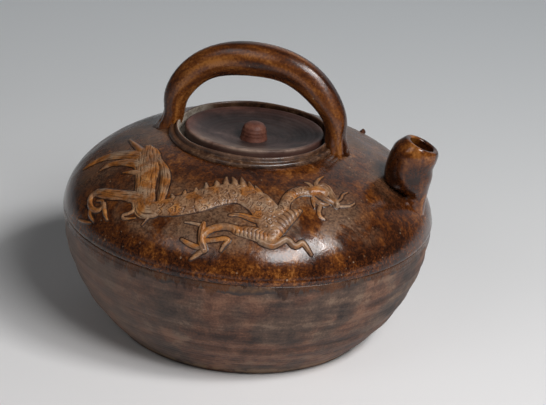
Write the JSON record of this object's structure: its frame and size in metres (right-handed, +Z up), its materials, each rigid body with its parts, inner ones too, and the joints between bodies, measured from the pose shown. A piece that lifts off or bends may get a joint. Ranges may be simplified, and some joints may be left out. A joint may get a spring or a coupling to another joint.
{
  "type": "dragon jar",
  "caption": "Round stoneware serving jar with a fixed overhead handle, stub spout, sunk lift-off lid and a relief dragon on its glazed shoulder.",
  "frame": {"origin": "centre of the flat foot, on the surface the jar stands on", "axes": "+Z up along the pot's axis, +X out through the spout, the handle in the XZ plane, the dragon on the -Y side"},
  "size_m": [0.2563, 0.255, 0.2071],
  "materials": {
    "brown_glaze": "glossy amber-brown glaze",
    "bare_clay": "unglazed red-brown stoneware",
    "lid_clay": "unglazed purple-brown stoneware",
    "relief_clay": "matt tan slip"
  },
  "bodies": {
    "pot": {"lower_bowl": "bare_clay", "shoulder": "brown_glaze", "mouth_collar": "brown_glaze", "handle": "brown_glaze", "spout": "brown_glaze", "dragon_torso": "relief_clay", "dragon_neck": "relief_clay", "dragon_head": "relief_clay", "dragon_horns": "relief_clay", "dragon_whiskers": "relief_clay", "dragon_beard": "relief_clay", "dragon_crest": "relief_clay", "dragon_near_hind_leg": "relief_clay", "dragon_far_hind_leg": "relief_clay", "dragon_fore_leg": "relief_clay", "dragon_raised_fore_leg": "relief_clay", "dragon_claws": "relief_clay", "dragon_tail": "relief_clay", "dragon_tail_plume": "relief_clay", "dragon_scrolls": "relief_clay"},
    "lid": {"lid_plate": "lid_clay", "lid_knob": "lid_clay"}
  },
  "joints": [
    {"name": "lid_lift", "type": "slide", "parent": "pot", "child": "lid", "axis": [0, 0, 1], "range_m": [0, 0.012]}
  ]
}
